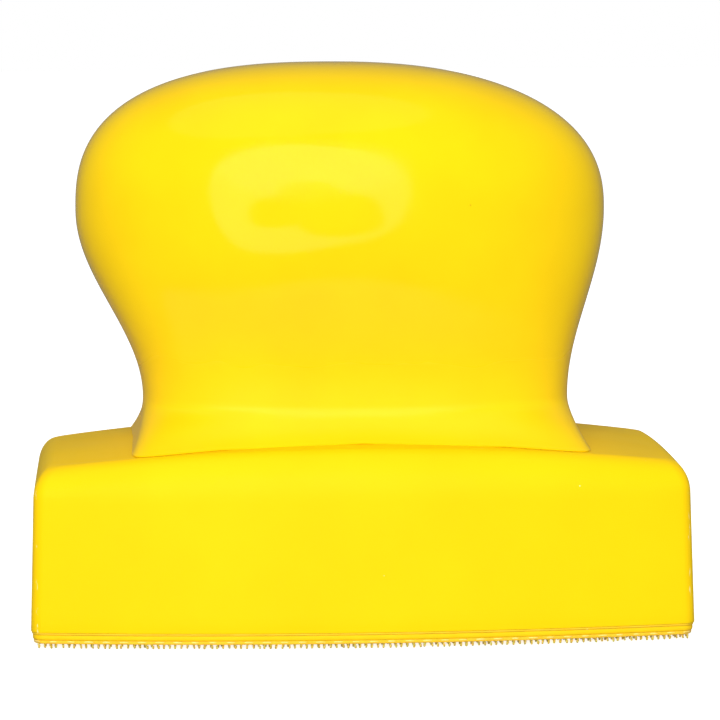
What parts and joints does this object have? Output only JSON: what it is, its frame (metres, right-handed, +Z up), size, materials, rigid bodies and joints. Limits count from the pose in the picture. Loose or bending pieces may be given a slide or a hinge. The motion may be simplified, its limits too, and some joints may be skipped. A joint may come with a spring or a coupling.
{
  "type": "palm-grip hand pad holder",
  "caption": "Palm-grip hand block with a broad glossy bulb grip, a satin block and a woven hook-fabric sole that carries loop-backed pads or squeegee felts.",
  "frame": {"origin": "centre of the sole on the plane of the hook tips, which is the lowest plane of the part", "axes": "+X along the wide side of the block, -Y towards the front, +Z up through the grip"},
  "size_m": [0.125, 0.07, 0.1085],
  "materials": {
    "grip_yellow": "glossy moulded yellow plastic",
    "block_yellow": "satin moulded yellow polyurethane",
    "plate_black": "black glass-filled plastic",
    "screw_steel": "zinc-plated steel",
    "adhesive_clear": "pressure-sensitive adhesive",
    "backing_yellow": "flexible yellow sheet",
    "hook_cloth": "tightly woven yellow nylon ground cloth",
    "hook_nylon": "translucent pale yellow nylon monofilament hooks"
  },
  "bodies": {
    "root": {"grip_front_half": "grip_yellow", "grip_rear_half": "grip_yellow", "block": "block_yellow", "stiffener_plate": "plate_black", "grip_screw_upper_left": "screw_steel", "grip_screw_upper_right": "screw_steel", "grip_screw_lower_left": "screw_steel", "grip_screw_lower_right": "screw_steel", "plate_screw_front_left": "screw_steel", "plate_screw_front_right": "screw_steel", "plate_screw_rear_left": "screw_steel", "plate_screw_rear_right": "screw_steel", "adhesive_film": "adhesive_clear", "sole_backing": "backing_yellow", "hook_weave": "hook_cloth", "hook_pile": "hook_nylon"}
  },
  "joints": []
}
